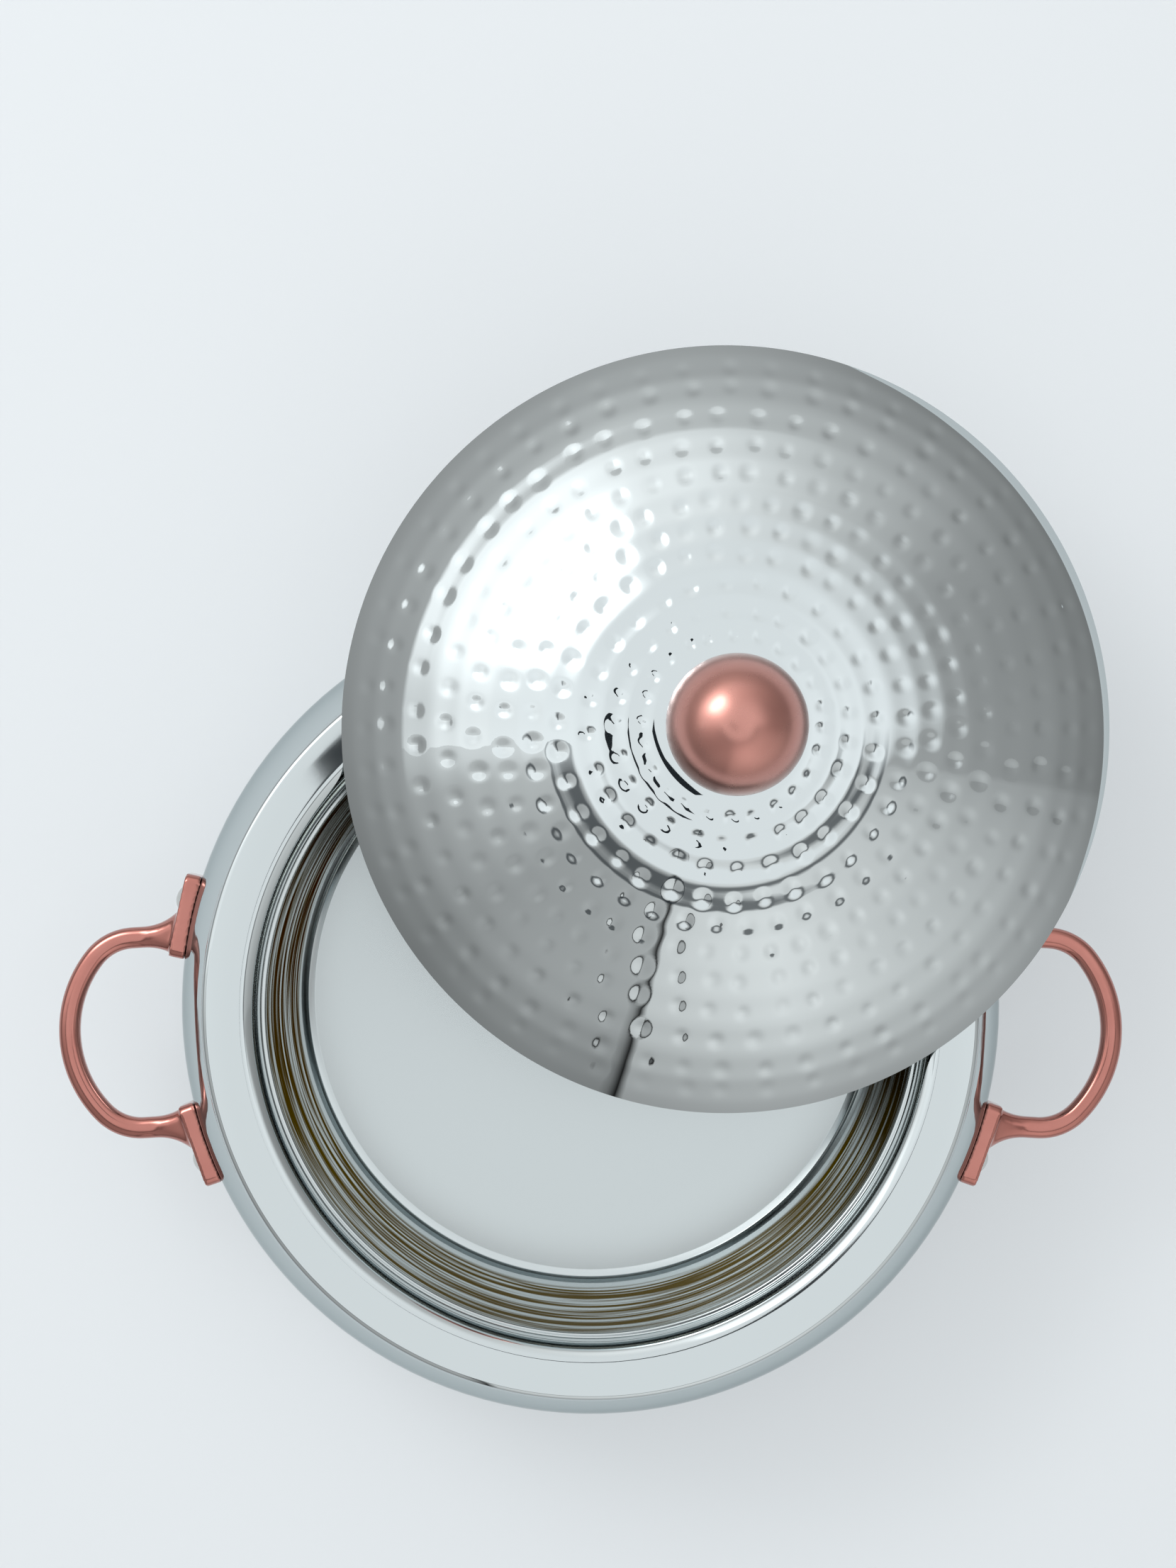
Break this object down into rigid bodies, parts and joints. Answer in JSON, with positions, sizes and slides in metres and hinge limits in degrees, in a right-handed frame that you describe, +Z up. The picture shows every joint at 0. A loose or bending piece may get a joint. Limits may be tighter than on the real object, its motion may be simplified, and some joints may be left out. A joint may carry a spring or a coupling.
{
  "type": "lidded serving pot",
  "caption": "Polished steel serving pot with a tapered inner pan, a hammered dome lid with copper ball knob, and riveted copper loop handles; the lid slides across the rim.",
  "frame": {"origin": "middle of the flat base, on the pot's axis, on the surface that the pot stands on", "axes": "+Z up along the pot's axis, X across the two handles, +Y towards the side where the lid is drawn aside"},
  "size_m": [0.3766, 0.372, 0.187],
  "materials": {
    "polished_steel": "mirror polished",
    "rose_copper": "rose copper plate, polished"
  },
  "bodies": {
    "pot": {"outer_shell": "polished_steel", "inner_pan": "polished_steel", "handle_right": "rose_copper", "handle_left": "rose_copper", "rivet_right_back": "polished_steel", "rivet_right_front": "polished_steel", "rivet_left_front": "polished_steel", "rivet_left_back": "polished_steel", "rivet_washer_right_back": "polished_steel", "rivet_washer_right_front": "polished_steel", "rivet_washer_left_front": "polished_steel", "rivet_washer_left_back": "polished_steel"},
    "lid": {"lid_shell": "polished_steel", "knob": "rose_copper", "knob_collar": "polished_steel", "knob_washer": "polished_steel", "knob_screw": "polished_steel"}
  },
  "joints": [
    {"name": "lid_slide", "type": "slide", "parent": "pot", "child": "lid", "axis": [0.4303, 0.9027, 0], "range_m": [-0.1069, 0.17]}
  ]
}
